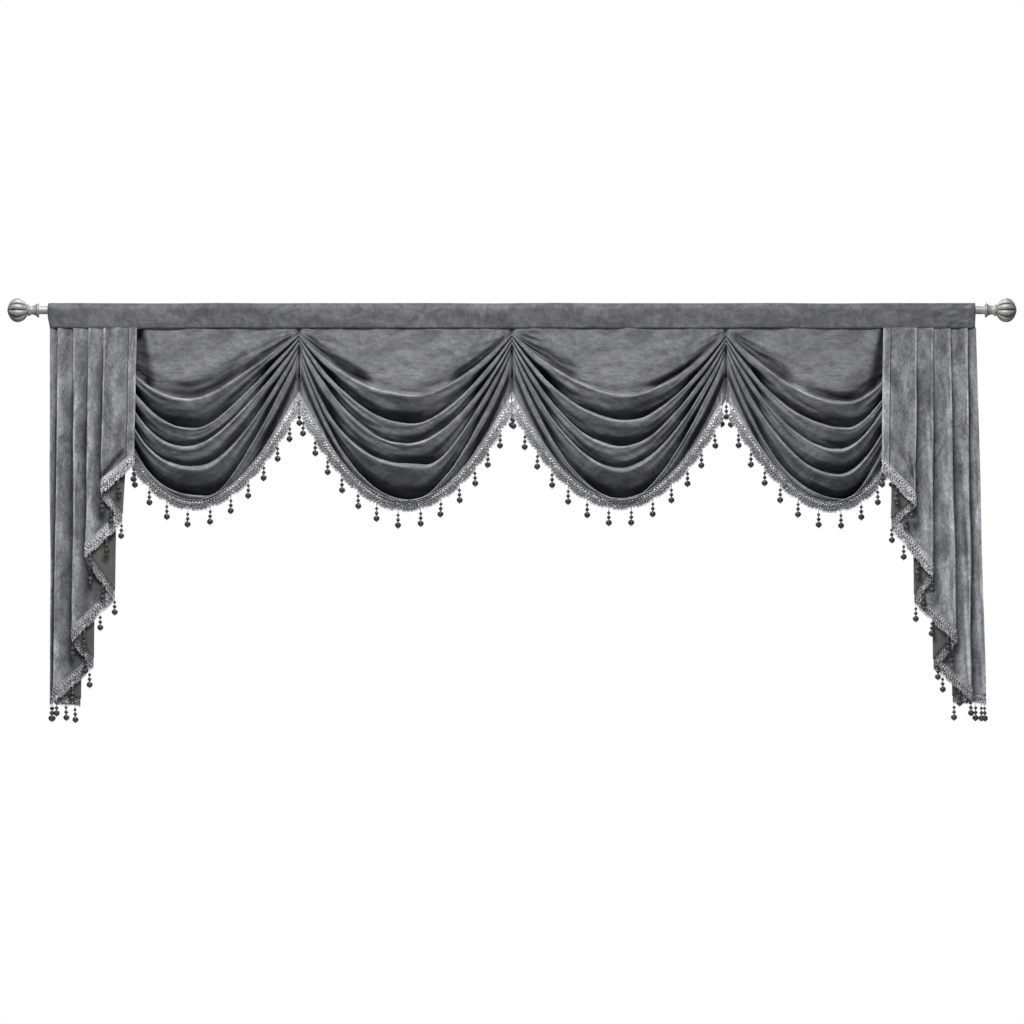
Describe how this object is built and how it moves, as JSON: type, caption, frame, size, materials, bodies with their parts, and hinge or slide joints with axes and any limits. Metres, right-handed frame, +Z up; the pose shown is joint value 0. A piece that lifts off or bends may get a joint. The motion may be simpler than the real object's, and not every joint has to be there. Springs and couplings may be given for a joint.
{
  "type": "swag and tail drape on a curtain rod",
  "caption": "Velvet swag valance with pleated cascade tails and beaded lace trim, hung by its pocket on a rod with ball finials.",
  "frame": {"origin": "on the rod's axis, at the middle of its length", "axes": "+X along the rod to the right as seen from the front, +Y towards the wall, so the front faces -Y, +Z up"},
  "size_m": [2.723, 0.0988, 1.147],
  "materials": {
    "velvet": "crushed grey velvet",
    "lace": "grey lace braid with silver thread",
    "beads": "faceted smoke-grey beads",
    "nickel": "brushed nickel"
  },
  "bodies": {
    "root": {"rod": "nickel", "finial_left": "nickel", "finial_right": "nickel", "rod_pocket": "velvet", "swag_1": "velvet", "swag_2": "velvet", "swag_3": "velvet", "swag_4": "velvet", "tail_left": "velvet", "tail_right": "velvet", "trim_swag_1": "lace", "trim_swag_2": "lace", "trim_swag_3": "lace", "trim_swag_4": "lace", "trim_tail_left": "lace", "trim_tail_right": "lace"}
  },
  "joints": []
}
